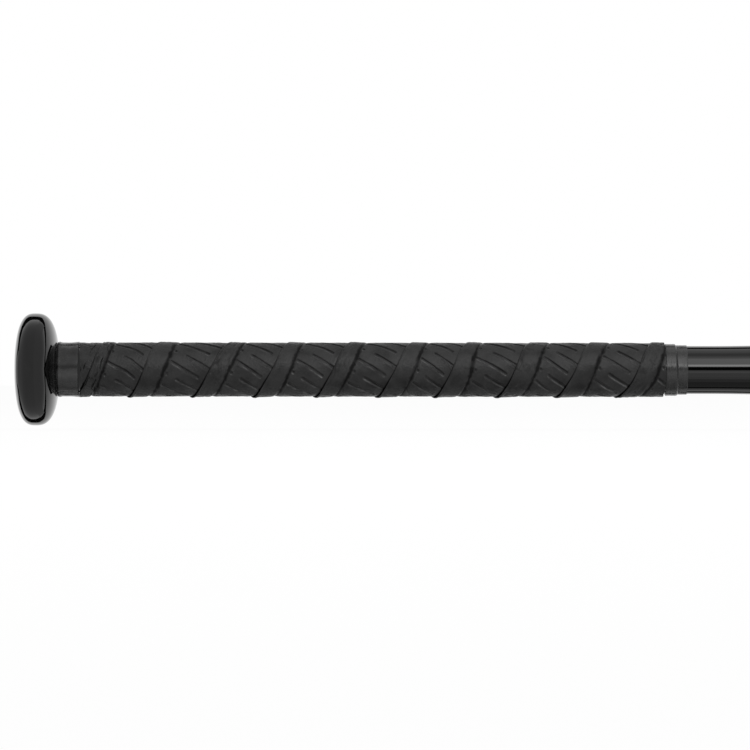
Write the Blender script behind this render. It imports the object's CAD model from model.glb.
from functools import partial
from math import acos, asin, cos, degrees, exp, pi, radians, sin, tan

import bmesh
import bpy
import numpy as np
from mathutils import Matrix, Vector, noise


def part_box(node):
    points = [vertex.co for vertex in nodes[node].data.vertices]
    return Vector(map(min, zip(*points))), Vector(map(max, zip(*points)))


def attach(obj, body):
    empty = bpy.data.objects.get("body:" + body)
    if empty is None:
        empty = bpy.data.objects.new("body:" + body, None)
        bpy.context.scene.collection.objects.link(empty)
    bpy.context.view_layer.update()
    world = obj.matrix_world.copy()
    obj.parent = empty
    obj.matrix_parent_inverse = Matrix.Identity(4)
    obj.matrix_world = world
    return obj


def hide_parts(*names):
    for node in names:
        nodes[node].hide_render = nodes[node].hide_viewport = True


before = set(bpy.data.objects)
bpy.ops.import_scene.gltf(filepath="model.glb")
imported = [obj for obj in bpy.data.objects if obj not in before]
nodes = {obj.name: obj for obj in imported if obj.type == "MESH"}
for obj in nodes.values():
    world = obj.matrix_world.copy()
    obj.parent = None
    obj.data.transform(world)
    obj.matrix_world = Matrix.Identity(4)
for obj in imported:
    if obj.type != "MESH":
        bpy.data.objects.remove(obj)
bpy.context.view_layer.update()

# A softball training bat: gloss black tube and knob, wound polyurethane grip, vinyl finishing
# tapes, and a moulded end cap that screws out with its pack of weights. Lengths are in metres,
# and stations run along the bat's axis, world +X, from the knob's end face.
scene = bpy.context.scene
MM = 0.001
# Kinds of node that are used often
MATH, VECTOR_MATH, RANGE = "ShaderNodeMath", "ShaderNodeVectorMath", "ShaderNodeMapRange"
NOISE, BUMP, MIX = "ShaderNodeTexNoise", "ShaderNodeBump", "ShaderNodeMixRGB"
CURVE, COMBINE = "ShaderNodeFloatCurve", "ShaderNodeCombineXYZ"
SMOOTH = {"interpolation_type": "SMOOTHSTEP"}


def ends(node):
    """The stations where a solid starts and ends."""
    low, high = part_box(node)
    return low.x, high.x


# Stations and radii of the solids
KNOB_RADIUS = 26.46 * MM
KNOB_WIDEST = 9.33 * MM
KNOB_BACK = ends("knob")[1]
KNOB_NECK = 13.2 * MM
KNOB_FLAT = 9.0 * MM
HANDLE_RADIUS = 11.3 * MM
BARREL_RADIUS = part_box("shell")[1].z
WALL = 2.0 * MM
TAPER_START = 326.71 * MM
TAPER_LENGTH = 310.0 * MM
# the tapes were laid by hand, up to 1.1 mm from where the solids have them
LOWER_TAPE = (ends("lower_tape")[0], ends("lower_tape")[1] + 1.0 * MM)
GRIP = (ends("grip_strip")[0] + 1.0 * MM, ends("grip_strip")[1] - 0.4 * MM)
UPPER_TAPE = (ends("upper_tape")[0] - 0.4 * MM, ends("upper_tape")[1] - 1.1 * MM)
TAPE_INSIDE = 11.45 * MM
FOLD_DEPTH = 0.22
CAP_FACE = ends("end_cap")[1]

# Winding of the grip strip: from turn to turn, and where its edge meets the handle's underside
PITCH = 28.6 * MM
EDGE_AT_UNDERSIDE = 56.21 * MM
# Across the strip, in mm from its knob-side edge: its far edge, the middle of its slots, the
# crease where it climbs down from its lap, and where the next turn's edge lies on it
STRIP_WIDTH = 36.6
SLOT_MIDDLE = 18.0
CREASE = 9.3
NEXT_EDGE = 28.7
# How far the strip's edge strays from an even helix at each quarter turn, in mm, and how far its
# crease strays from the edge: it is wound by hand. A Float Curve holds such distances as shares
# of SPREAD from its middle.
SPREAD = 10.0
FIRST_STRAY = -2
STRAY = [0, 0, 0, 0, 0, 1.2, -0.6, -2, -3, -2.5, -2.9, -2.3, -1.7, -0.1, 1.4, 0.1, -1.3, 0.65,
         1.3, 0.3, -0.8, 0.6, 1.3, 0.5, -0.3, 1.2, 1.9, 0.2, -1.8, -0.7, -0.4, -0.9, -1.2, 0.25,
         0.15, -0.7, -1.7, 0.1, 0.4, -0.6, -1.6, 0.8, 0.5, 0, 0]
SINK = [0, 0, 0, -0.5, -1.1, -3.2, -3.2, -1.3, 0.1, 0.4, 0.5, 0.3, 0.1, -0.15, -0.8, -0.3, 0.4,
        -0.5, -1.5, -1.2, -0.8, -0.7, -1.3, -0.3, 0.7, 0.1, -1.1, 0, 1.3, -0.15, -2.1, -0.4, 1.2,
        0.9, 0.2, 0.9, 1.8, 0, -0.2, 0.2, 0.7, 0.6, -0.9, 0, 0]
# How much the lap is pleated at each quarter turn
PLEATS = [0, 0, 0, 0, 0.6, 0.6, 0.6, 0.4, 0, 0.2, 0.2, 0, 0.3, 0.5, 0.4, 0.2, 0, 0, 0.2, 0, 0.2,
          0.4, 0.4, 0.2, 0.4, 0.2, 0, 0, 0.1, 0.3, 0.2, 0, 0.4, 0.5, 0.3, 0, 0, 0, 0, 0, 0.4, 0.5,
          0.3, 0, 0]
# Rows of pressed slots, in mm: how far apart along the strip, where row 0 lies, how far they lean
# along the strip for each mm across it, half a slot's straight length and half its width, how far
# over every second row lies, and how far before the slots' middle its small dimple is
ROW = 5.682
ROW_ZERO = -3.07
LEAN = 0.53
SLOT_HALF = 7.0
SLOT_SIDE = 0.58
ROW_SHIFT = 5.5
DIMPLE = 7.0
ALONG_A_TURN = 79.17
FIRST_ROW = -30
ROWS = 152
# Each row has columns of points parallel to its slots, so far from its middle
COLUMNS = [-2.84, -1.3, -0.95, -0.76, -SLOT_SIDE, -0.4, 0.4, SLOT_SIDE, 0.76, 0.95, 1.3]
# A Float Curve holds the strip's radii in mm as shares of a span above a base
BASE_RADIUS = 11
RADIUS_SPAN = 3
# Beside the knob the first wraps are crumpled and show no slots: full and none at these stations
FIRST_WRAPS = (38 * MM, 41 * MM)
LUMP_HEIGHT = 0.5 * MM
PLEAT_DEPTH = 0.7 * MM
EDGE_LIFT = 0.5 * MM


def linear(code):
    """Linear colour of an sRGB hex code such as 2b2b2c."""
    parts = [int(code[i:i + 2], 16) / 255 for i in (0, 2, 4)]
    return [((c + 0.055) / 1.055) ** 2.4 if c > 0.04045 else c / 12.92 for c in parts] + [1]


def fill(node, inputs):
    """Fill a node's inputs, by name or in order, with values, sockets or nodes."""
    for name, value in inputs.items() if isinstance(inputs, dict) else enumerate(inputs):
        if isinstance(value, bpy.types.Node):
            value = next(output for output in value.outputs if output.enabled)
        if isinstance(value, bpy.types.NodeSocket):
            node.id_data.links.new(value, node.inputs[name])
        else:
            node.inputs[name].default_value = value


def add(tree, kind, inputs=(), operation=None, **settings):
    """Add a node, make its settings, and fill its inputs. In order, a Map Range takes its value,
    the range that this runs over, and the range that the result runs over."""
    node = tree.nodes.new(kind)
    if operation:
        node.operation = operation
    for name, value in settings.items():
        setattr(node, name, value)
    fill(node, inputs)
    return node


def fill_curve(node, points, handles="VECTOR"):
    """Give a Float Curve node its points, with straight runs between them or smooth ones."""
    curve = node.mapping.curves[0]
    node.mapping.use_clip = False
    while len(curve.points) < len(points):
        curve.points.new(0.5, 0.5)
    for point, (x, y) in zip(curve.points, points):
        point.location = (x, y)
        point.handle_type = handles
    node.mapping.update()


def surface(name, colour, roughness, more=None):
    """A material, its Principled shader, what adds a node to them, and the place on the piece."""
    material = bpy.data.materials.new(name)
    material.use_nodes = True
    shader = material.node_tree.nodes["Principled BSDF"]
    fill(shader, {"Base Color": linear(colour), "Roughness": roughness, **(more or {})})
    put = partial(add, material.node_tree)
    return material, shader, put, put("ShaderNodeTexCoord").outputs["Object"]


def vary(shader, pattern, tones=None, relief=None, dull=None):
    """Let a pattern run a shader from one tone to another and from one roughness to another,
    and give it a relief, by its strength and its depth in mm."""
    put = partial(add, shader.id_data)
    if tones:
        fill(shader, {"Base Color": put(MIX, [pattern, linear(tones[0]), linear(tones[1])])})
    if relief:
        bump = put(BUMP, {"Height": pattern, "Strength": relief[0], "Distance": relief[1] * MM})
        fill(shader, {"Normal": bump})
    if dull:
        fill(shader, {"Roughness": put(RANGE, [pattern, 0, 1, *dull])})


def gloss_paint():
    """Sprayed and baked black enamel on alloy: a deep mirror with the faintest orange peel."""
    material, shader, put, place = surface("baked_black_enamel", "020202", 0.04)
    # orange peel 2 mm across
    peel = put(NOISE, {"Vector": place, "Scale": 500.0, "Detail": 1.0})
    vary(shader, peel, relief=(0.02, 0.1))
    return material


def grip_polyurethane():
    """Embossed polyurethane film on foam: satin, with a fine grain and drag lines."""
    material, shader, put, place = surface("embossed_polyurethane", "202020", 0.4,
                                           {"Specular IOR Level": 0.35})
    wound = put("ShaderNodeAttribute", attribute_name="wound").outputs["Vector"]
    across, shade = put("ShaderNodeSeparateXYZ", [wound]).outputs[1:3]
    height = put("ShaderNodeSeparateXYZ", [place]).outputs[2]
    # the skin's grain is about 0.2 mm on the real strip and is drawn at 0.8 mm
    grain = put(NOISE, {"Vector": place, "Scale": 1250.0})
    worn = put(NOISE, {"Vector": place, "Scale": 150.0, "Detail": 3.0})
    # drag lines from stretching, along the strip and about 1 mm apart
    pull = put(VECTOR_MATH, [wound, (150.0, 900.0, 0.0)], "MULTIPLY")
    drag = put(NOISE, {"Vector": pull, "Scale": 1.0})
    skin = put(BUMP, {"Height": grain, "Strength": 0.8, "Distance": 0.2 * MM})
    lines = put(BUMP, {"Height": drag, "Strength": 0.6, "Distance": 0.22 * MM, "Normal": skin})
    spread = put(RANGE, [worn, 0.35, 0.65])
    tone = put(MIX, [spread, linear("111111"), linear("222222")])
    # the lower wall of each pressed slot is burnished and pale, and its upper wall holds grime
    blotches = put(NOISE, {"Vector": place, "Scale": 210.0})
    rubbed = put(RANGE, [blotches, 0.38, 0.62, 0.25, 1.1])
    uneven_shade = put(MATH, [shade, rubbed], "MULTIPLY")
    burnish = put(CURVE, {"Value": put(RANGE, [uneven_shade, -1.0, 1.0])})
    fill_curve(burnish, [(0, 0.045), (0.5, 0.1), (0.75, 0.19), (1, 0.5)])
    strong = put(MATH, [burnish, 10.0], "MULTIPLY")
    marked = put(MIX, [1.0, tone, strong], blend_type="MULTIPLY")
    # grime fills the crease where the strip climbs down from its lap, and the crack along the
    # next turn's edge, most of it on the underside
    from_crease, from_crack = [put(MATH, [put(MATH, [across, line * MM], "SUBTRACT")],
                                   "ABSOLUTE") for line in (CREASE, NEXT_EDGE)]
    beads = put(NOISE, {"Vector": place, "Scale": 380.0})
    uneven = put(RANGE, [beads, 0.36, 0.64, 0, 0.75 * MM])
    in_crease = put(RANGE, [put(MATH, [from_crease, uneven]), 0.45 * MM, 1.75 * MM, 0.28, 1.0],
                    **SMOOTH)
    low = put(RANGE, [height, -12.0 * MM, 2.0 * MM, 1.6 * MM, 0.5 * MM])
    depth = put(RANGE, [height, -9.0 * MM, 3.0 * MM, 0.05, 0.45])
    crack_share = put(MATH, [from_crack, low], "DIVIDE")
    in_crack = put(RANGE, [crack_share, 0.4, 1.0, depth, 1.0], **SMOOTH)
    clean = put(MATH, [in_crease, in_crack], "MULTIPLY")
    gleam = put(RANGE, [uneven_shade, -1.0, 0.0, 0.17, 0.35])
    fill(shader, {"Base Color": put(MIX, [1.0, marked, clean], blend_type="MULTIPLY"),
                  "Specular IOR Level": put(MATH, [clean, gleam], "MULTIPLY"),
                  "Roughness": put(RANGE, [worn, 0.35, 0.65, 0.34, 0.48]), "Normal": lines})
    return material


def vinyl_tape():
    """Stretched vinyl finishing tape: satin, with fine lines round it where it was pulled."""
    material, shader, put, place = surface("stretched_vinyl", "212121", 0.3)
    # lines run round the handle, so the pattern is fine along it and long round it
    drawn = put("ShaderNodeMapping", {"Vector": place, "Scale": (1800.0, 120.0, 120.0)})
    lines = put(NOISE, {"Vector": drawn, "Scale": 1.0})
    folds = put(NOISE, {"Vector": place, "Scale": 220.0})
    fine = put(BUMP, {"Height": lines, "Strength": 0.4, "Distance": 0.05 * MM})
    soft = put(BUMP, {"Height": folds, "Strength": 0.5, "Distance": 0.2 * MM, "Normal": fine})
    vary(shader, folds, dull=(0.2, 0.34))
    # the vinyl is paler where it is stretched over a ridge and dark in a fold
    fold = put("ShaderNodeAttribute", attribute_name="fold").outputs["Fac"]
    tone = put(RANGE, [fold, -1.0, 1.0, 0.035, 0.002])
    fill(shader, {"Base Color": tone, "Normal": soft})
    return material


def moulded_nylon():
    """Glass-filled nylon from a spark-eroded mould: satin black with a fine sand texture."""
    material, shader, put, place = surface("moulded_black_nylon", "232325", 0.42)
    # spark texture about 0.1 mm, drawn at 0.5 mm
    spark = put(NOISE, {"Vector": place, "Scale": 2000.0})
    vary(shader, spark, relief=(0.3, 0.04))
    flow = put(NOISE, {"Vector": place, "Scale": 60.0})
    vary(shader, flow, dull=(0.36, 0.5))
    return material


def moulded_rubber():
    """Moulded black rubber: dull, faintly blotched with bloom."""
    material, shader, put, place = surface("moulded_black_rubber", "1e1e1e", 0.7)
    bloom = put(NOISE, {"Vector": place, "Scale": 300.0, "Detail": 4.0})
    vary(shader, bloom, tones=("1a1a1a", "2a2a29"), relief=(0.3, 0.05))
    return material


def cut_foam():
    """Cut closed-cell foam: grey, with open cells about 0.8 mm across on its skin."""
    material, shader, put, place = surface("closed_cell_foam", "58585a", 0.9)
    cells = put("ShaderNodeTexVoronoi", {"Vector": place, "Scale": 1250.0})
    vary(shader, cells, tones=("4a4a4c", "69696b"), relief=(0.8, 0.3))
    return material


def natural_nylon():
    """Extruded natural nylon: milky, with light drawn lines along it."""
    material, shader, put, place = surface("extruded_natural_nylon", "d8d2c4", 0.45)
    drawn = put("ShaderNodeMapping", {"Vector": place, "Scale": (40.0, 1500.0, 1500.0)})
    lines = put(NOISE, {"Vector": drawn, "Scale": 1.0})
    vary(shader, lines, tones=("cdc6b6", "e2ddd2"), relief=(0.3, 0.04))
    return material


def turned_alloy():
    """Turned aluminium: fine tool rings round the axis, 0.15 mm apart and drawn at 0.4 mm."""
    material, shader, put, place = surface("turned_aluminium", "c8c8ca", 0.28, {"Metallic": 1.0})
    rings = put("ShaderNodeTexWave", {"Vector": place, "Scale": 125.0, "Distortion": 0.3},
                bands_direction="X")
    vary(shader, rings, relief=(0.25, 0.03), dull=(0.24, 0.36))
    return material


def zinc_plate():
    """Zinc plated and clear passivated steel: grey with a faint blue and straw cloud."""
    material, shader, put, place = surface("zinc_plated_steel", "b9bcc0", 0.34, {"Metallic": 1.0})
    cloud = put(NOISE, {"Vector": place, "Scale": 90.0, "Detail": 3.0})
    vary(shader, cloud, tones=("aeb4bd", "c6c3b8"), dull=(0.28, 0.42))
    return material


enamel = gloss_paint()
polyurethane = grip_polyurethane()
vinyl = vinyl_tape()
black_nylon = moulded_nylon()
rubber = moulded_rubber()
foam = cut_foam()
liner_nylon = natural_nylon()
alloy = turned_alloy()
zinc = zinc_plate()


SHARP = radians(34)


def new_mesh(name, points, faces=(), edges=()):
    """A mesh from its points and its faces or edges."""
    mesh = bpy.data.meshes.new(name)
    mesh.from_pydata(points, edges, faces)
    return mesh


def circle(count):
    """Each number below count, with the next one round."""
    return [(i, (i + 1) % count) for i in range(count)]


def new_object(data):
    """An object in the scene, at the origin, with its data's name."""
    made = bpy.data.objects.new(data.name, data)
    scene.collection.objects.link(made)
    return made


def point_outwards(mesh):
    """Join doubles and point the faces outwards."""
    shape = bmesh.new()
    shape.from_mesh(mesh)
    bmesh.ops.remove_doubles(shape, verts=shape.verts, dist=0.000002)
    bmesh.ops.recalc_face_normals(shape, faces=shape.faces)
    if shape.calc_volume(signed=True) < 0:
        bmesh.ops.reverse_faces(shape, faces=shape.faces)
    shape.to_mesh(mesh)
    shape.free()


def place_mesh(mesh, material):
    """A piece with its place in its mesh, closed, and smooth apart from its sharp edges."""
    point_outwards(mesh)
    piece = new_object(mesh)
    mesh.materials.clear()
    mesh.materials.append(material)
    mesh.shade_smooth()
    mesh.set_sharp_from_angle(angle=SHARP)
    return piece


def applied(piece):
    """A plain mesh of a piece with its modifiers."""
    graph = bpy.context.evaluated_depsgraph_get()
    return bpy.data.meshes.new_from_object(piece.evaluated_get(graph))


def settle(piece, body, slot, *replaced):
    """Let a finished piece ride on its body and stand for its solids."""
    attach(piece, body)
    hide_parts(*replaced)


def turned(name, outline, material, sides):
    """A turned piece from a closed outline of (station, radius) points. Points with radius 0
    become poles."""
    angles = np.linspace(0, 2 * pi, sides, endpoint=False)
    verts, rings = [], []
    for station, radius in outline:
        first = len(verts)
        if radius == 0:
            verts.append((station, 0, 0))
            rings.append([first] * sides)
        else:
            verts += [(station, -radius * sin(a), -radius * cos(a)) for a in angles]
            rings.append(range(first, first + sides))
    faces = []
    for here, there in zip(rings, rings[1:] + rings[:1]):
        for i, k in circle(sides):
            corners = dict.fromkeys([here[i], here[k], there[k], there[i]])
            if len(corners) > 2:
                faces.append(list(corners))
    return place_mesh(new_mesh(name, verts, faces), material)


def rounded(corners, steps=4):
    """An outline from (station, radius, fillet) corners, each cut by an arc of that fillet,
    which is in mm."""
    points = []
    count = len(corners)
    for i, (x, r, fillet) in enumerate(corners):
        if fillet == 0:
            points.append((x, r))
            continue
        here = np.array((x, r))
        before = np.array(corners[i - 1][:2]) - here
        after = np.array(corners[(i + 1) % count][:2]) - here
        before = before / np.linalg.norm(before)
        after = after / np.linalg.norm(after)
        for share in np.linspace(0, 1, steps + 1):
            pull_in = (1 - share) ** 2 * before + share ** 2 * after
            points.append(tuple(here + fillet * MM * pull_in))
    return points


def knob_outline():
    """The knob's two rounded sides round its widest ring, its plug hole and its socket."""
    points = []
    back_depth, back_power = 10.9 * MM, 2.72
    front_depth, front_power = 9.5 * MM, 2.8
    neck = asin((KNOB_NECK / KNOB_RADIUS) ** (back_power / 2))
    flat = asin((KNOB_FLAT / KNOB_RADIUS) ** (front_power / 2))
    crown = front_depth * (1 - cos(flat) ** (2 / front_power))
    for angle in np.linspace(neck, pi / 2, 40):
        radius = KNOB_RADIUS * sin(angle) ** (2 / back_power)
        points.append((KNOB_WIDEST + back_depth * cos(angle) ** (2 / back_power), radius))
    for angle in np.linspace(pi / 2, flat, 40)[1:]:
        radius = KNOB_RADIUS * sin(angle) ** (2 / front_power)
        rise = front_depth * (1 - cos(angle) ** (2 / front_power)) - crown
        points.append((rise, radius))
    hole = rounded([(0, KNOB_FLAT, 0), (0, 6 * MM, 0.3), (4 * MM, 6 * MM, 0),
                    (4 * MM, 11.6 * MM, 0), (KNOB_BACK, 11.6 * MM, 0)])
    return points + hole[1:]


def shell_outline():
    """The tube: straight handle, long taper without a kink, straight barrel, rolled mouth."""
    start, end = ends("shell")
    straight_end = end - 0.8 * MM
    curve = [(TAPER_START + TAPER_LENGTH * s,
              HANDLE_RADIUS + (BARREL_RADIUS - HANDLE_RADIUS) * s * s * (3 - 2 * s))
             for s in np.linspace(0, 1, 90)]
    handle = [(x, HANDLE_RADIUS) for x in np.linspace(start, TAPER_START, 40)]
    barrel = [(x, BARREL_RADIUS) for x in np.linspace(curve[-1][0], straight_end, 24)]
    outer = handle[:-1] + curve + barrel[1:]
    mouth = rounded([(straight_end, BARREL_RADIUS, 0), (end, BARREL_RADIUS, 0.6),
                     (end, BARREL_RADIUS - WALL, 0.3), (end - 1 * MM, BARREL_RADIUS - WALL, 0)])
    inner = [(x, r - WALL) for x, r in reversed(curve[::3])]
    return outer + mouth[1:] + inner + [(start, HANDLE_RADIUS - WALL)]


settle(turned("tube", shell_outline(), enamel, 224), "bat", "gloss_black", "shell")
settle(turned("knob_casting", knob_outline(), enamel, 224), "bat", "gloss_black", "knob")


def plug_outline():
    """A bung whose boss fills the knob's hole, with a moulded dimple in its face."""
    end = ends("knob_plug")[1]
    return rounded([(end, 0, 0), (end, 9.0 * MM, 0.4), (4.3 * MM, 9.0 * MM, 0.3),
                    (4.3 * MM, 5.7 * MM, 0), (0.02 * MM, 5.7 * MM, 0.5),
                    (0.02 * MM, 3.6 * MM, 0.4), (0.7 * MM, 2.8 * MM, 0.4), (0.7 * MM, 0, 0)])


def rod_outline(node, radius, fillet):
    """A rod with soft ends, where a node lies."""
    start, end = ends(node)
    return rounded([(end, 0, 0), (end, radius, fillet), (start, radius, fillet), (start, 0, 0)])


settle(turned("handle_plug", plug_outline(), rubber, 96), "bat", "rubber", "knob_plug")
for name, node, radius, fillet, sides in (
        ("sting_damper", "handle_damper", 9.0 * MM, 1.2, 64),
        ("barrel_foam", "foam_stop", 26.25 * MM, 1.5, 96)):
    settle(turned(name, rod_outline(node, radius, fillet), foam, sides), "bat", "foam", node)


def wrapped_tape(name, material, stations, top, fold, rows=60, sides=320):
    """A closed band of tape. top(share, angle) gives its outer radius in mm, and
    fold(share, angle) runs from -1 on a stretched ridge to 1 in a fold."""
    start, end = stations
    shares = np.linspace(0, 1, rows)
    verts, folds = [], []
    for angle in np.linspace(0, 2 * pi, sides, endpoint=False):
        across, up = -sin(angle), -cos(angle)
        for share in shares:
            depth = fold(share, angle)
            bevel = 0.08 if share in (0.0, 1.0) else 0.0
            radius = (top(share, angle) - FOLD_DEPTH * depth - bevel) * MM
            verts.append((start + share * (end - start), radius * across, radius * up))
            folds.append(depth)
        for x in (end, start):
            verts.append((x, TAPE_INSIDE * across, TAPE_INSIDE * up))
            folds.append(0.0)
    ring = rows + 2
    faces = [(i * ring + j, k * ring + j, k * ring + m, i * ring + m)
             for i, k in circle(sides) for j, m in circle(ring)]
    mesh = new_mesh(name, verts, faces)
    mesh.attributes.new("fold", "FLOAT", "POINT").data.foreach_set("value", folds)
    return place_mesh(mesh, material)


def ripple(share, angle, across, round_it, seed):
    """Noise on the tape, from -1 to 1, with its own scales along and round the handle."""
    spot = Vector((share * across + seed, cos(angle) * round_it, sin(angle) * round_it))
    return noise.noise(spot)


def line(angle, middle, width):
    """A smooth bump at an angle from the underside. It and its width are in degrees."""
    away = (degrees(angle) - middle + 180) % 360 - 180
    return exp(-(away / width) ** 2)


def lower_tape_top(share, angle):
    """A roll against the knob, a smooth middle, and a slight rise over the grip's end."""
    roll = 0.35 * exp(-((share - 0.1) / 0.07) ** 2)
    rise = 0.3 * max(0.0, (share - 0.55) / 0.45) ** 1.5
    folds = 0.10 * ripple(share, angle, 1.2, 3.0, 3.0) + 0.03 * ripple(share, angle, 5, 7, 9.0)
    return 12.7 + roll + rise + folds


def lower_tape_fold(share, angle):
    """Lengthwise folds where the tape bridges the knob's neck and the grip's end."""
    bend = 3.0 * ripple(share, 0, 2.2, 0, 4.0)
    folds = 1.3 * line(angle, 95 + bend, 4.5) + 1.2 * line(angle, 49 - bend, 6)
    folds += 0.6 * line(angle, 31, 3) + line(angle, 215 + 2 * bend, 5)
    folds += 0.8 * line(angle, 300 - bend, 6) - line(angle, 78, 9) - 0.8 * line(angle, 39, 3)
    folds -= 0.6 * line(angle, 230, 7) - 0.6 * line(angle, 130, 17)
    return folds + 0.35 * ripple(share, angle, 3, 6, 7.0)


def upper_tape_top(share, angle):
    """One band over the grip's cut end, and a thinner one on the tube, with a leaning step."""
    step = 0.5 + 0.04 * cos(angle)
    drop = min(1.0, max(0.0, (share - step) / 0.05))
    fibres = 0.02 * ripple(share, angle, 9, 5, 1.0) + 0.04 * ripple(share, angle, 2, 2, 5.0)
    return 12.22 - 0.56 * drop + fibres


def upper_tape_fold(share, angle):
    """Dark at the step between the bands, and slightly streaked."""
    step = 0.52 + 0.04 * cos(angle)
    dark = exp(-((share - step) / 0.03) ** 2)
    return dark + 0.3 * ripple(share, angle, 12, 3, 2.0)


settle(wrapped_tape("knob_tape", vinyl, LOWER_TAPE, lower_tape_top, lower_tape_fold),
       "bat", "tape", "lower_tape")
settle(wrapped_tape("finishing_tape", vinyl, UPPER_TAPE, upper_tape_top, upper_tape_fold),
       "bat", "tape", "upper_tape")


# The strip's top and underside as radii in mm against the distance from its knob-side edge
STRIP_TOP = [(0, 12.78), (0.25, 13.0), (0.7, 13.12), (2.2, 13.08), (5.5, 13.0), (7.9, 12.93),
             (8.5, 12.75), (9.0, 12.42), (9.4, 12.32), (9.8, 12.48), (10.2, 12.65), (11, 12.72),
             (13, 12.75), (20, 12.73), (27, 12.66), (28.4, 12.6), (29.0, 12.5), (29.5, 12.05),
             (STRIP_WIDTH, 11.98)]
STRIP_UNDER = [(0, 12.66), (0.7, 12.6), (1.3, 12.3), (7.9, 12.15), (8.3, 11.7),
               (STRIP_WIDTH, 11.7)]


def strip_outline():
    """Points of the strip's outline: distance from the edge in mm, and 0 below to 1 on top."""
    top = [0, 0.3, 0.7, 1.2, 1.9, 2.6, 3.4, 4.2, 5.0, 5.8, 6.6, 7.4, 8.0, 8.5, 8.9, 9.25, 9.6,
           9.9, 10.2, 10.5, 10.8, 11.1, 11.4, 11.7, 12.1, 13.2, 14.4, 15.2, 15.6, 15.9, 16.2, 16.6,
           17.8, 19.6, 21.4, 23.2, 24.6, 25.1, 25.4, 25.7, 26.0, 26.4, 27.4, 28.2, 28.7, 29.1,
           29.5, STRIP_WIDTH]
    under = [STRIP_WIDTH, 28, 18, 9.0, 8.4, 4, 0]
    points = [(w, 1.0) for w in top] + [(STRIP_WIDTH, 0.5)]
    return points + [(w, 0.0) for w in under] + [(0, 0.5)]


def new_tree(name, sizes):
    """A Geometry Nodes tree that makes a piece from an outline, sizes and a finish, what adds a
    node to it, and its inputs."""
    tree = bpy.data.node_groups.new(name, "GeometryNodeTree")
    for socket, kind in [("Outline", "Geometry"), *((size, "Float") for size in sizes),
                         ("Finish", "Material")]:
        tree.interface.new_socket(socket, in_out="INPUT", socket_type="NodeSocket" + kind)
    tree.interface.new_socket("Piece", in_out="OUTPUT", socket_type="NodeSocketGeometry")
    put = partial(add, tree)
    return tree, put, put("NodeGroupInput").outputs


def end_tree(put, given, shape):
    """Make a tree's shape real, give it its finish and put it out."""
    real = put("GeometryNodeRealizeInstances", {"Geometry": shape})
    finished = put("GeometryNodeSetMaterial", {"Geometry": real, "Material": given["Finish"]})
    put("NodeGroupOutput", {"Piece": finished})


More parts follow.
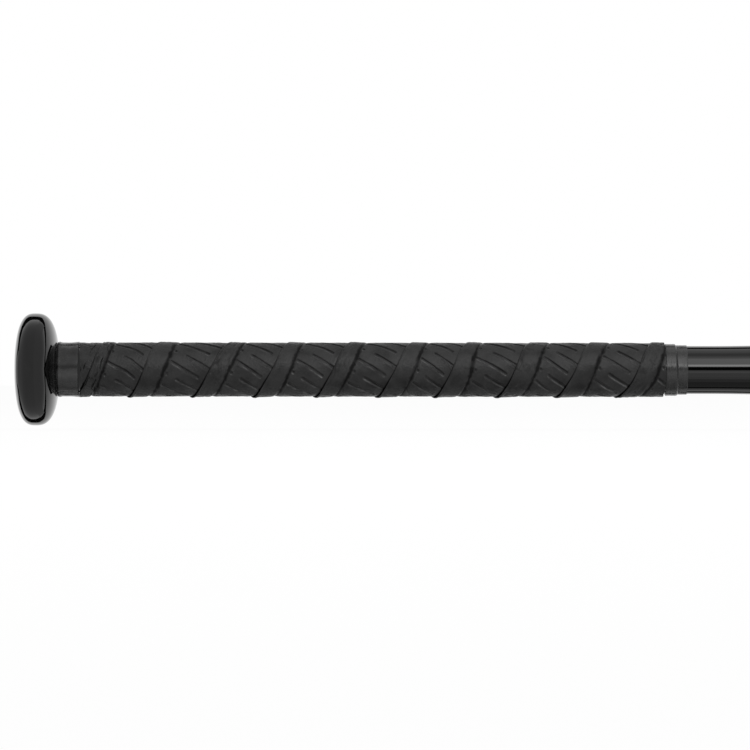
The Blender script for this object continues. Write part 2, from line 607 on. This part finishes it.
def wound_strip_tree():
    """Wind an outline round the handle: each turn laps the one before, cut square at the ends."""
    tree, put, given = new_tree("wound_strip",
                                ("Pitch", "Edge at underside", "Start", "End", "Slot depth"))
    count = len(strip_outline())
    columns = len(COLUMNS)
    grid = put("GeometryNodeMeshGrid", {"Vertices X": ROWS * columns, "Vertices Y": count + 1})
    index = put("GeometryNodeInputIndex")
    step = put(MATH, [put(MATH, [index, count + 1], "DIVIDE")], "FLOOR")
    point = put(MATH, [put(MATH, [index, count + 1], "MODULO"), count], "MODULO")
    seat = put("GeometryNodeInputPosition")
    drawn = put("GeometryNodeSampleIndex", {"Geometry": given["Outline"], "Value": seat,
                                            "Index": point}, data_type="FLOAT_VECTOR")
    drawn_across, height = put("ShaderNodeSeparateXYZ", [drawn.outputs["Value"]]).outputs[:2]
    # each row of slots has its columns of points, close together at the slot's walls
    row_count = put(MATH, [put(MATH, [step, columns], "DIVIDE")], "FLOOR")
    row = put(MATH, [row_count, FIRST_ROW])
    column = put(MATH, [step, columns], "MODULO")
    offset = put(CURVE, {"Value": put(MATH, [column, columns - 1], "DIVIDE")})
    fill_curve(offset, [(i / (columns - 1), 0.5 + c / SPREAD) for i, c in enumerate(COLUMNS)])
    from_row = put(MATH, [offset, SPREAD, -SPREAD / 2], "MULTIPLY_ADD")
    along = put(MATH, [row, ROW, put(MATH, [from_row, ROW_ZERO])], "MULTIPLY_ADD")
    middle_turn = put(MATH, [along, ALONG_A_TURN], "DIVIDE")
    # each column is cut where it leaves the room between the two tapes, and it leans by this
    # share of a turn for each mm across
    shift = LEAN / ALONG_A_TURN
    first_turn = put(MATH, [middle_turn, SLOT_MIDDLE * shift])
    base = put(MATH, [first_turn, given["Pitch"], given["Edge at underside"]], "MULTIPLY_ADD")
    limits = []
    for end in ("Start", "End"):
        room = put(MATH, [given[end], base], "SUBTRACT")
        width = put(MATH, [room, 1000.0 / (1 - 1000 * PITCH * shift)], "MULTIPLY")
        limits.append(put("ShaderNodeClamp", {"Value": width, "Min": 0.0, "Max": STRIP_WIDTH}))
    across = put("ShaderNodeClamp", {"Value": drawn_across, "Min": limits[0], "Max": limits[1]})
    centred = put(MATH, [across, SLOT_MIDDLE], "SUBTRACT")
    turn = put(MATH, [centred, -shift, middle_turn], "MULTIPLY_ADD")
    # hand winding: how far the edge strays here and one turn on, the crease, and the pleats
    strays = []
    for ahead, table in ((0.0, STRAY), (1.0, STRAY), (0.0, SINK), (0.0, PLEATS)):
        last = len(table) - 1
        share = put(RANGE, [put(MATH, [turn, ahead]), FIRST_STRAY, FIRST_STRAY + last / 4])
        stray = put(CURVE, {"Value": share})
        fill_curve(stray, [(i / last, 0.5 + value / SPREAD) for i, value in enumerate(table)],
                   "AUTO")
        strays.append(put(MATH, [stray, SPREAD, -SPREAD / 2], "MULTIPLY_ADD"))
    drift = put(MATH, [strays[0], MM], "MULTIPLY")
    spread = put(MATH, [strays[1], strays[0]], "SUBTRACT")
    even = put(MATH, [turn, given["Pitch"], given["Edge at underside"]], "MULTIPLY_ADD")
    edge = put(MATH, [even, drift])
    share = put(MATH, [across, STRIP_WIDTH], "DIVIDE")
    faces = []
    for side in (STRIP_UNDER, STRIP_TOP):
        faces.append(put(CURVE, {"Value": share}))
        fill_curve(faces[-1], [(w / STRIP_WIDTH, (r - BASE_RADIUS) / RADIUS_SPAN)
                               for w, r in side])
    level = put("ShaderNodeMix", {"Factor": height, "A": faces[0], "B": faces[1]})
    radius = put(MATH, [level, RADIUS_SPAN * MM, BASE_RADIUS * MM], "MULTIPLY_ADD")
    # the visible part of the strip follows its neighbour: wider or narrower than the pitch
    field = put(RANGE, [across, 9.0, 28.6])
    stretch = put(MATH, [field, spread], "MULTIPLY")
    angle = put(MATH, [turn, 2 * pi], "MULTIPLY")
    cosine = put(MATH, [angle], "COSINE")
    near = put(RANGE, [across, 2.5, 8.6], **SMOOTH)
    far = put(RANGE, [across, 20.0, 11.0], **SMOOTH)
    close = put(MATH, [near, far], "MULTIPLY")
    moved = put(MATH, [close, strays[2], stretch], "MULTIPLY_ADD")
    laid = put(MATH, [across, moved])
    reach = put(MATH, [laid, MM, edge], "MULTIPLY_ADD")
    station = put("ShaderNodeClamp", {"Value": reach, "Min": given["Start"], "Max": given["End"]})
    # soft unevenness of the foam under the skin
    out = put(MATH, [-1.0, put(MATH, [angle], "SINE")], "MULTIPLY")
    down = put(MATH, [-1.0, cosine], "MULTIPLY")
    round_it = put(COMBINE, [station, out, down])
    spot = put(VECTOR_MATH, [round_it, (1.0, 0.012, 0.012)], "MULTIPLY")
    lump = put(NOISE, {"Vector": spot, "Scale": 130.0})
    soft = put(MATH, [put(MATH, [lump, -0.5]), LUMP_HEIGHT], "MULTIPLY")
    # short creases run over the first wraps and along the lap of some turns
    pleat_at = put(COMBINE, [put(MATH, [across, 0.5], "MULTIPLY"),
                             put(MATH, [turn, 7.0], "MULTIPLY")])
    pleat = put(NOISE, {"Vector": pleat_at, "Scale": 1.0, "Detail": 1.0, "Distortion": 0.4})
    pleat_off = put(MATH, [put(MATH, [pleat, -0.5])], "ABSOLUTE")
    valley = put(RANGE, [pleat_off, 0, 0.055, 1.0, 0.0], **SMOOTH)
    on_lap = put(RANGE, [across, 8.8, 7.4])
    lap_share = put(MATH, [strays[3], on_lap], "MULTIPLY")
    first = put(RANGE, [station, FIRST_WRAPS[1], FIRST_WRAPS[0]])
    crumple = put(MATH, [first, 0.75], "MULTIPLY")
    pleat_share = put(MATH, [lap_share, crumple], "MAXIMUM")
    deep = put(MATH, [valley, pleat_share], "MULTIPLY")
    pleated = put(MATH, [deep, -PLEAT_DEPTH, soft], "MULTIPLY_ADD")
    # the strip's edge has lifted a little along the underside
    loose = put(RANGE, [cosine, 0.75, 0.97, 0.0, EDGE_LIFT])
    at_edge = put(RANGE, [across, 2.0, 0.0])
    lifted = put(MATH, [loose, at_edge], "MULTIPLY")
    # the press leaves slots with a flat floor, steep walls and round ends, and every second row
    # lies further over, with a small round dimple, which is out of reach in the other rows
    odd = put(MATH, [row, 2.0], "FLOORED_MODULO")
    moved_over = put(MATH, [odd, -ROW_SHIFT, centred], "MULTIPLY_ADD")
    reached = put(MATH, [moved_over], "ABSOLUTE")
    over = put(RANGE, [reached, SLOT_HALF, SLOT_HALF + 20, 0, 20.0])
    slot, dimple = [
        put(VECTOR_MATH, [put(COMBINE, [away, from_row])], "LENGTH").outputs["Value"]
        for away in (over, put(MATH, [centred, DIMPLE]))]
    gone = put(RANGE, [odd, 0, 1, 9.0, 0.0])
    dimple_far = put(MATH, [dimple, gone])
    nearest = put(MATH, [slot, dimple_far], "MINIMUM")
    pressed = put(CURVE, {"Value": put(RANGE, [nearest, 0, 2.0])})
    fill_curve(pressed, [(0, 0), (0.2, 0), (0.38, 0.9), (0.48, 1), (0.65, 0.9), (1, 0.9)])
    sunk = put(MATH, [pressed, -0.9])
    kept = put(MATH, [1.0, first], "SUBTRACT")
    emboss = put(MATH, [sunk, kept], "MULTIPLY")
    embossed = put(MATH, [emboss, given["Slot depth"], pleated], "MULTIPLY_ADD")
    bulk = put(MATH, [radius, lifted])
    skin = put(MATH, [embossed, height, bulk], "MULTIPLY_ADD")
    back = put(MATH, [skin, out], "MULTIPLY")
    rise = put(MATH, [skin, down], "MULTIPLY")
    where = put(COMBINE, [station, back, rise])
    shaped = put("GeometryNodeSetPosition", {"Geometry": grid.outputs["Mesh"], "Position": where})
    # label the walls: 1 on a slot's lower wall, -1 on its upper wall and deep in a crease
    beside = put(RANGE, [from_row, -SLOT_SIDE, SLOT_SIDE, 1.0, -1.0])
    in_slot = put(RANGE, [nearest, 1.0, 0.75])
    side = put(MATH, [beside, in_slot], "MULTIPLY")
    still = put(MATH, [side, kept], "MULTIPLY")
    grime = put(MATH, [deep, 0.35], "MULTIPLY")
    shade = put(MATH, [still, grime], "SUBTRACT")
    length = put(MATH, [turn, ALONG_A_TURN * MM], "MULTIPLY")
    metres = put(MATH, [across, MM], "MULTIPLY")
    labels = put(COMBINE, [length, metres, shade])
    named = put("GeometryNodeStoreNamedAttribute",
                {"Geometry": shaped, "Name": "wound", "Value": labels},
                data_type="FLOAT_VECTOR", domain="POINT")
    closed = put("GeometryNodeMergeByDistance", {"Geometry": named, "Distance": 0.000001})
    end_tree(put, given, closed)
    return tree


def grown(name, mesh, tree, material, sizes):
    """Run a tree on a mesh and keep the result as a plain mesh."""
    base = new_object(mesh)
    modifier = base.modifiers.new("grow", "NODES")
    modifier.node_group = tree
    values = {**sizes, "Finish": material}
    for item in tree.interface.items_tree:
        if item.in_out == "INPUT" and item.name in values:
            modifier[item.identifier] = values[item.name]
    result = applied(base)
    bpy.data.objects.remove(base)
    result.name = name
    return place_mesh(result, material)


outline = new_mesh("strip_outline", [(w, h, 0) for w, h in strip_outline()])
strip = grown("grip_wrap", outline, wound_strip_tree(), polyurethane,
              {"Pitch": PITCH, "Edge at underside": EDGE_AT_UNDERSIDE, "Start": GRIP[0],
               "End": GRIP[1], "Slot depth": 0.5 * MM})
settle(strip, "bat", "grip", "grip_strip")

# The cap's thread and the ring's, right-handed with one start: the lead and both root radii
LEAD = 4.0 * MM
CAP_ROOT = 22.5 * MM
RING_ROOT = 23.6 * MM
RING_RADIUS = 26.275 * MM
RING_START, RING_END = ends("thread_ring")
CAP_UNDERSIDE = 826.31 * MM
SKIRT_END = ends("end_cap")[0] + 1.0 * MM
SKIRT_INSIDE = 19.98 * MM
CAP_RADIUS = 27.775 * MM
DISH_RADIUS = 20.0 * MM
DISH_DEPTH = 9.5 * MM
BAR_HALF_WIDTH = 4.5 * MM
THREAD_TURN_STEPS = 72


def thread_tree():
    """Run a ridge's outline along a screw line, growing from nothing at both ends."""
    tree, put, given = new_tree("screw_thread", ("Lead", "Turns", "Start", "Root"))
    length = put(MATH, [given["Lead"], given["Turns"]], "MULTIPLY")
    line = put("GeometryNodeCurveSpiral",
               {"Resolution": THREAD_TURN_STEPS, "Rotations": given["Turns"],
                "Start Radius": given["Root"], "End Radius": given["Root"], "Height": length,
                "Reverse": True})
    upright = put("GeometryNodeSetCurveNormal", {"Curve": line}, mode="Z_UP")
    share = put("GeometryNodeSplineParameter").outputs["Factor"]
    off = put(MATH, [put(MATH, [share, 0.5], "SUBTRACT")], "ABSOLUTE")
    size = put(RANGE, [off, 0.5, 0.42], **SMOOTH)
    tapered = put("GeometryNodeSetCurveRadius", {"Curve": upright, "Radius": size})
    profile = put("GeometryNodeMeshToCurve", {"Mesh": given["Outline"]})
    ridge = put("GeometryNodeCurveToMesh",
                {"Curve": tapered, "Profile Curve": profile, "Fill Caps": True})
    place = put(COMBINE, [given["Start"]])
    laid = put("GeometryNodeTransform",
               {"Geometry": ridge, "Translation": place, "Rotation": (0, pi / 2, 0)})
    end_tree(put, given, laid)
    return tree


def rounded_cut(piece, cutter, width):
    """Cut a piece with another, and round the edges that are left."""
    cut = piece.modifiers.new("cut", "BOOLEAN")
    cut.object = cutter
    cut.solver = "EXACT"
    soft = piece.modifiers.new("soft", "BEVEL")
    soft.width = width
    soft.segments = 3
    soft.limit_method = "ANGLE"
    soft.angle_limit = radians(48)
    result = applied(piece)
    piece.modifiers.clear()
    bpy.data.objects.remove(cutter)
    piece.data = result
    result.shade_smooth()
    result.set_sharp_from_angle(angle=SHARP)


def dish_cutter():
    """Two half moons that leave a bar between them."""
    reach = acos(BAR_HALF_WIDTH / DISH_RADIUS)
    count = 41
    verts, faces = [], []
    for side in (1, -1):
        low = range(len(verts), len(verts) + count)
        high = range(low.stop, low.stop + count)
        for x in (CAP_FACE - DISH_DEPTH, CAP_FACE + DISH_DEPTH):
            verts += [(x, side * DISH_RADIUS * cos(a), DISH_RADIUS * sin(a))
                      for a in np.linspace(-reach, reach, count)]
        faces += [low, high[::-1]]
        faces += [(low[i], high[i], high[k], low[k]) for i, k in circle(count)]
    return place_mesh(new_mesh("dish_cutter", verts, faces), black_nylon)


# the cap's groove for its O-ring, and its boss round the stud's hole
seal_out, seal_in, seal_top = 25.62 * MM, 23.12 * MM, CAP_UNDERSIDE + 1.9 * MM
floor_end = CAP_FACE - DISH_DEPTH - 5.2 * MM
boss_end, boss_radius = SKIRT_END - 1.0 * MM, 9 * MM
hole_end, hole_radius = boss_end + 16.1 * MM, 4.3 * MM
cap = turned("screw_cap", rounded([
    (CAP_FACE, 0, 0), (CAP_FACE, CAP_RADIUS, 4), (CAP_UNDERSIDE, CAP_RADIUS, 0.3),
    (CAP_UNDERSIDE, seal_out, 0), (seal_top, seal_out, 0.3), (seal_top, seal_in, 0.3),
    (CAP_UNDERSIDE, seal_in, 0), (CAP_UNDERSIDE, CAP_ROOT, 0), (SKIRT_END, CAP_ROOT, 0.8),
    (SKIRT_END, SKIRT_INSIDE, 0.5), (floor_end, SKIRT_INSIDE, 1),
    (floor_end, boss_radius, 1), (boss_end, boss_radius, 0.6), (boss_end, hole_radius, 0.4),
    (hole_end, hole_radius, 0), (hole_end, 0, 0)], 6), black_nylon, 144)
rounded_cut(cap, dish_cutter(), 0.7 * MM)
settle(cap, "cap", "nylon", "end_cap")
ring = turned("mouth_ring", rounded([
    (RING_START, RING_ROOT, 0.5), (RING_END, RING_ROOT, 0.5),
    (RING_END, RING_RADIUS, 0.3), (RING_START, RING_RADIUS, 0.3)]), alloy, 144)
settle(ring, "bat", "alloy", "thread_ring")
# a ridge's outline, along the axis and away from the root, in mm
RIDGE = [(-1.1, -0.15), (-0.95, 0.0), (-0.45, 0.78), (-0.3, 0.85), (0.3, 0.85), (0.45, 0.78),
         (0.95, 0.0), (1.1, -0.15)]
# Both threads lie on one screw line, half a lead apart, so that the ridges pass between each
# other: name, material, body, slot, solid, which way the ridge stands, root, start and turns
for name, material, body, slot, node, outwards, root, start, rounds in (
        ("cap_thread", black_nylon, "cap", "nylon", "end_cap", 1, CAP_ROOT,
         SKIRT_END + 1.4 * MM, 3.65),
        ("ring_thread", alloy, "bat", "alloy", "thread_ring", -1, RING_ROOT,
         SKIRT_END - 4.6 * MM, 5.3)):
    ridge = new_mesh(name + "_outline", [(outwards * h * MM, w * MM, 0) for w, h in RIDGE],
                     edges=circle(len(RIDGE)))
    thread = grown(name, ridge, thread_tree(), material,
                   {"Lead": LEAD, "Turns": rounds, "Start": start, "Root": root})
    settle(thread, body, slot, node)

for material, shown in (
        (liner_nylon, "guide_sleeve"), (black_nylon, "weight_carrier"),
        (rubber, "damping_washer_1 damping_washer_2 damping_washer_3 cap_seal"),
        (zinc, "weight_disc_1 weight_disc_2 weight_disc_3 weight_disc_4 carrier_nut cap_stud "
               "thrust_washer stud_washer stud_nut")):
    for name in shown.split():
        nodes[name].data.materials.clear()
        nodes[name].data.materials.append(material)


def emptied(owner):
    """What adds a node to a material or a world, once its tree is emptied."""
    owner.use_nodes = True
    owner.node_tree.nodes.clear()
    return partial(add, owner.node_tree)


def rays(put):
    """1 where the camera sees the surface, and 1 where gloss or clear stuff shows it."""
    path = put("ShaderNodeLightPath").outputs
    return path["Is Camera Ray"], put(
        MATH, [path["Is Glossy Ray"], path["Is Transmission Ray"]], "MAXIMUM")


def floor_paper(colour, seen, mirrored):
    """Matt floor paper. seen and mirrored are how much of its look is a white glow to the camera
    and in gloss, and the rest is its own shaded colour."""
    material = bpy.data.materials.new("floor_paper")
    put = emptied(material)
    by_camera, by_gloss = rays(put)
    flat = put("ShaderNodeBsdfDiffuse", {"Color": linear(colour)})
    glow = put("ShaderNodeEmission", {"Strength": 1.0})
    shown = put(MATH, [by_camera, seen], "MULTIPLY")
    share = put(MATH, [by_gloss, mirrored, shown], "MULTIPLY_ADD")
    put("ShaderNodeOutputMaterial", {"Surface": put("ShaderNodeMixShader", [share, flat, glow])})
    return material


def glowing_card():
    """Studio card that shows the grey its points were given, whatever lights it."""
    material = bpy.data.materials.new("studio_glow")
    put = emptied(material)
    given = put("ShaderNodeAttribute", attribute_name="glow").outputs["Fac"]
    glow = put("ShaderNodeEmission", {"Strength": given})
    put("ShaderNodeOutputMaterial", {"Surface": glow})
    return material


def stage_card(name, verts, faces, glows):
    """A card or flag that shows in gloss, and neither to the camera nor as light or shade."""
    mesh = new_mesh(name, verts, faces)
    mesh.attributes.new("glow", "FLOAT", "POINT").data.foreach_set("value", glows)
    mesh.materials.append(studio_glow)
    piece = new_object(mesh)
    for ray in ("camera", "diffuse", "shadow", "transmission"):
        setattr(piece, "visible_" + ray, False)


def curved_cards(name, cards, distance, count=13):
    """Curved cards round the bat's axis, each given by its first and last angle (0 towards the
    camera, 90 up), its ends along the axis, and its brightness."""
    verts, faces, glows = [], [], []
    for first, last, start, end, glow in cards:
        faces += [(i, i + 1, i + 1 + count, i + count)
                  for i in range(len(verts), len(verts) + count - 1)]
        verts += [(x, -distance * cos(a), distance * sin(a)) for x in (start, end)
                  for a in np.radians(np.linspace(first, last, count))]
        glows += [glow] * 2 * count
    stage_card(name, verts, faces, glows)


# The station that the domes round the knob are centred on
DOME_MIDDLE = 12.0 * MM


def dome(name, radius, turns, start, end, shade, steps=16):
    """Part of a dome round the knob. turns are angles round the view's direction, from right
    over the top. start and end are angles from the backdrop's middle at each turn."""
    verts, faces, glows = [], [], []
    for turn, low, high in zip(turns, start, end):
        t = radians(turn)
        for polar in np.linspace(low, high, steps):
            out = radius * sin(radians(polar))
            verts.append((DOME_MIDDLE + out * cos(t), radius * cos(radians(polar)), out * sin(t)))
            glows.append(shade(turn, polar, low))
    for k in range(0, steps * (len(turns) - 1), steps):
        faces += [(i, i + steps, i + steps + 1, i + 1) for i in range(k, k + steps - 1)]
    stage_card(name, verts, faces, glows)


def ladder(name, verts, glow):
    """A card of one brightness from points in pairs, with a face from each pair to the next."""
    faces = [(i, i + 1, i + 3, i + 2) for i in range(0, len(verts) - 2, 2)]
    stage_card(name, verts, faces, [glow] * len(verts))


def divider(name, x, inner, outer, first, last, glow):
    """Part of a disc with a wide hole, which keeps the handle's cards out of the knob's gloss."""
    ladder(name, [(x, -radius * cos(a), radius * sin(a))
                  for a in np.radians(np.linspace(first, last, 49))
                  for radius in (inner, outer)], glow)


def lamp(name, angle, half_angle, radiance, x_range, distance=1.6):
    """A long soft lamp parallel to the bat, facing its axis. It lights the matt surfaces, and
    the cards stand for it in the gloss."""
    width = 2 * distance * tan(radians(half_angle))
    length = x_range[1] - x_range[0]
    data = bpy.data.lights.new(name, "AREA")
    data.shape = "RECTANGLE"
    data.size, data.size_y = length, width
    data.energy = radiance * pi * length * width
    lamp_object = new_object(data)
    a = radians(angle)
    lamp_object.location = (sum(x_range) / 2, -distance * cos(a), distance * sin(a))
    lamp_object.rotation_euler = (pi / 2 - a, 0, 0)
    lamp_object.visible_camera = lamp_object.visible_glossy = False


studio_glow = glowing_card()
# What the gloss black shows over the handle, from below behind the bat over the camera to above
# behind it: first angle, last angle and brightness of each card
HANDLE_CARDS = [
    (-134, -125, 0.02), (-125, -115, 0.95), (-115, -107, 0.7), (-107, -99.5, 0.55),
    (-99.5, -91.5, 0.03), (-91.5, -60, 0.27), (-60, -45, 0.43), (-45, -35, 0.68),
    (-35, -15, 0.8), (-15, -5.5, 1.1), (-5.5, -1, 0.7), (-1, 13.5, 0.01), (13.5, 16.2, 1.2),
    (16.2, 25.5, 4.8), (25.5, 54, 2.1), (54, 60, 1.5), (60, 66, 1.1), (66, 72, 0.85),
    (72, 85, 0.62), (85, 91, 0.75), (91, 111, 0.88), (111, 121, 1.0), (121, 135, 0.02)]
# the ones behind the bat start further from the knob, to stay out of its gloss
curved_cards("handle_cards", [(first, last, 0.06 if abs(first + last) / 2 < 102 else 0.3, 0.6,
                               glow) for first, last, glow in HANDLE_CARDS], 1.1)

# The black hem between the white backdrop and the grey tent round the knob: turn, angle of its
# middle from the backdrop's middle, and half its width
HEM = [(-180, 32, 1), (-174, 35, 1.5), (-170, 43.3, 4), (-166, 47.8, 6.3), (-160, 46.7, 7.8),
       (-150, 48.3, 9.3), (-140, 49.3, 8.8), (-131, 47.8, 8.7), (-112, 48.3, 10.1), (-97, 47, 9),
       (-85, 49.3, 10.5), (-77, 53, 11), (-62, 53.5, 10.5), (-52, 57.5, 10), (-46, 61, 8.5),
       (-42, 65, 7), (-37, 68.5, 6.5), (-30, 74, 6), (-24, 78, 4.5), (-16, 87, 4.5), (0, 96, 5),
       (16, 88, 4.5), (23, 78, 4.5), (30, 75, 5.5), (36, 70, 6.3), (42, 67, 6.5), (53, 59.8, 7.5),
       (62, 55, 7.5), (73, 51, 9.3), (84, 49.5, 8), (97, 49.3, 8.1), (112, 49.8, 12),
       (131, 49.4, 11.5), (142, 47.7, 9), (150, 47.3, 9.8), (160, 46, 9.8), (167, 48, 7.5),
       (171, 41, 3.8), (175, 34, 1.5), (180, 32, 1)]
turns = np.linspace(-180, 180, 121)
hem_turns, hem_middles, hem_halves = zip(*HEM)
hem_middle = np.interp(turns, hem_turns, hem_middles)
hem_half = np.interp(turns, hem_turns, hem_halves)


def cloth_shade(turn, polar, edge):
    """The tent is paler to the right, and near its hem above and below, and darker on the left."""
    t = radians(turn)
    side = max(0.0, -cos(t)) ** 6
    rim = exp(-(max(0.0, polar - edge) / 11.5) ** 1.3)
    dip = exp(-((polar - 57) / 20) ** 2)
    return 0.665 + 0.05 * cos(t) + (0.8 * rim - 0.05) * (1 - side) - 0.32 * dip * side


dome("tent_cloth", 1.35, turns, hem_middle + hem_half, np.full(len(turns), 179.5), cloth_shade, 40)
dome("tent_hem", 1.3, turns, hem_middle - hem_half, hem_middle + hem_half,
     lambda turn, polar, edge: 0.01)
# A flag beyond the barrel end: the gap between the upper and the lower white, as half its
# height in degrees at each angle from the backdrop's middle
GAP = [(14, 1), (25, 4.5), (34, 8), (43, 11.5), (54, 12.6), (66, 12.8), (74, 10.5), (82, 8.5),
       (96, 5)]
FLAG_RADIUS = 1.2
flag_verts = []
for polar, half_height in GAP:
    out, depth = sin(radians(polar)), cos(radians(polar))
    rise = sin(radians(half_height))
    flag_verts += [(DOME_MIDDLE + FLAG_RADIUS * out, FLAG_RADIUS * depth, side * rise)
                   for side in (-FLAG_RADIUS, FLAG_RADIUS)]
ladder("gap_flag", flag_verts, 0.01)
divider("near_divider", 0.045, 0.06, 1.3, -104, 104, 0.66)
for first, last, glow in ((120, 126, 0.01), (114, 120, 0.95), (104, 114, 0.7)):
    divider("far_divider_below", 0.2, 0.3, 1.3, -last, -first, glow)
    divider("far_divider_above", 0.2, 0.3, 1.3, first, last, glow)
lamp("soft_lamp", 47.0, 20.0, 2.0, (-1.4, 2.2))

# The floor lies under the barrel and reaches past every view
floor_mesh = new_mesh("floor", [(x, y, -BARREL_RADIUS) for x, y in (
    (-6, -6), (6, -6), (6, 8), (-6, 8))], [(0, 1, 2, 3)])
floor_mesh.materials.append(floor_paper("fafafa", 0.955, 1.0))
floor = new_object(floor_mesh)
floor.visible_glossy = False

# Light from all sides, weaker than the white that the camera and gloss see
world = bpy.data.worlds.new("studio")
scene.world = world
put = emptied(world)
by_camera, by_gloss = rays(put)
shown = put(MATH, [by_camera, by_gloss], "MAXIMUM")
strength = put(RANGE, [shown, 0, 1, 0.45, 1.0])
background = put("ShaderNodeBackground", {"Color": (1, 1, 1, 1), "Strength": strength})
put("ShaderNodeOutputWorld", {"Surface": background})

# The photo's view: a long lens square to the handle, turned by a trace
camera_data = bpy.data.cameras.new("camera")
camera_data.lens = 200
camera_data.sensor_width = 36
camera_data.clip_end = 50
camera = new_object(camera_data)
camera.location = (0.16945, -1.967, -0.00251)
camera.rotation_euler = (pi / 2, radians(-0.053), 0)
bpy.context.scene.camera = camera
scene.view_settings.view_transform = "Standard"
